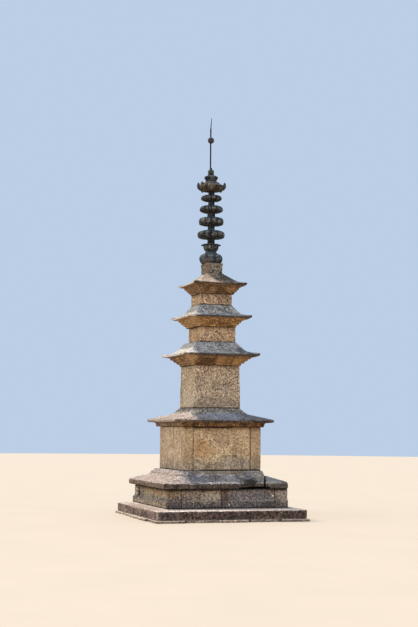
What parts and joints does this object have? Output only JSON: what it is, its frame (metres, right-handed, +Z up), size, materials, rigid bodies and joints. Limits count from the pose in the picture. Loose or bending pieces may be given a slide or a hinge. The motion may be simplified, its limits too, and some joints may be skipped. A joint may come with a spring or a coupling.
{
  "type": "stone pagoda",
  "caption": "Three-storey granite pagoda on a two-tier platform of walls and cover slabs, with stepped eaves and a tall finial of stone rings on an iron rod",
  "frame": {"origin": "centre of the foot of the lowest stone course, on the ground", "axes": "+Z up the tower, -Y the broad face seen first in the picture, -X the face to its left"},
  "size_m": [3.3, 3.3, 8.4],
  "materials": {
    "ground_granite": "rough weathered granite",
    "platform_granite": "worn granite with lichen",
    "tower_granite": "dressed granite, weathered",
    "finial_stone": "dark lichened stone",
    "iron": "rusted wrought iron"
  },
  "bodies": {
    "root": {"foundation_course": "ground_granite", "ground_slab_front": "ground_granite", "ground_slab_back": "ground_granite", "ground_slab_left": "ground_granite", "ground_slab_right": "ground_granite", "lower_wall_left": "platform_granite", "lower_wall_right": "platform_granite", "lower_wall_front_left": "platform_granite", "lower_wall_front_right": "platform_granite", "lower_wall_back_left": "platform_granite", "lower_wall_back_right": "platform_granite", "lower_cover_front": "platform_granite", "lower_cover_back": "platform_granite", "lower_cover_right_front": "platform_granite", "lower_cover_right_back": "platform_granite", "upper_wall_left_front": "tower_granite", "upper_wall_left_back": "tower_granite", "upper_wall_right_front": "tower_granite", "upper_wall_right_back": "tower_granite", "upper_wall_front": "tower_granite", "upper_wall_back": "tower_granite", "upper_cover_front": "tower_granite", "upper_cover_back": "tower_granite", "first_body": "tower_granite", "first_roof": "tower_granite", "second_body": "tower_granite", "second_roof": "tower_granite", "third_body": "tower_granite", "third_roof": "tower_granite", "finial_base_block": "finial_stone", "inverted_bowl": "finial_stone", "upturned_lotus": "finial_stone", "fourth_wheel": "finial_stone", "third_wheel": "finial_stone", "second_wheel": "finial_stone", "first_wheel": "finial_stone", "canopy": "finial_stone", "lobed_stone": "finial_stone", "drum": "finial_stone", "ball": "iron", "iron_rod": "iron"}
  },
  "joints": []
}
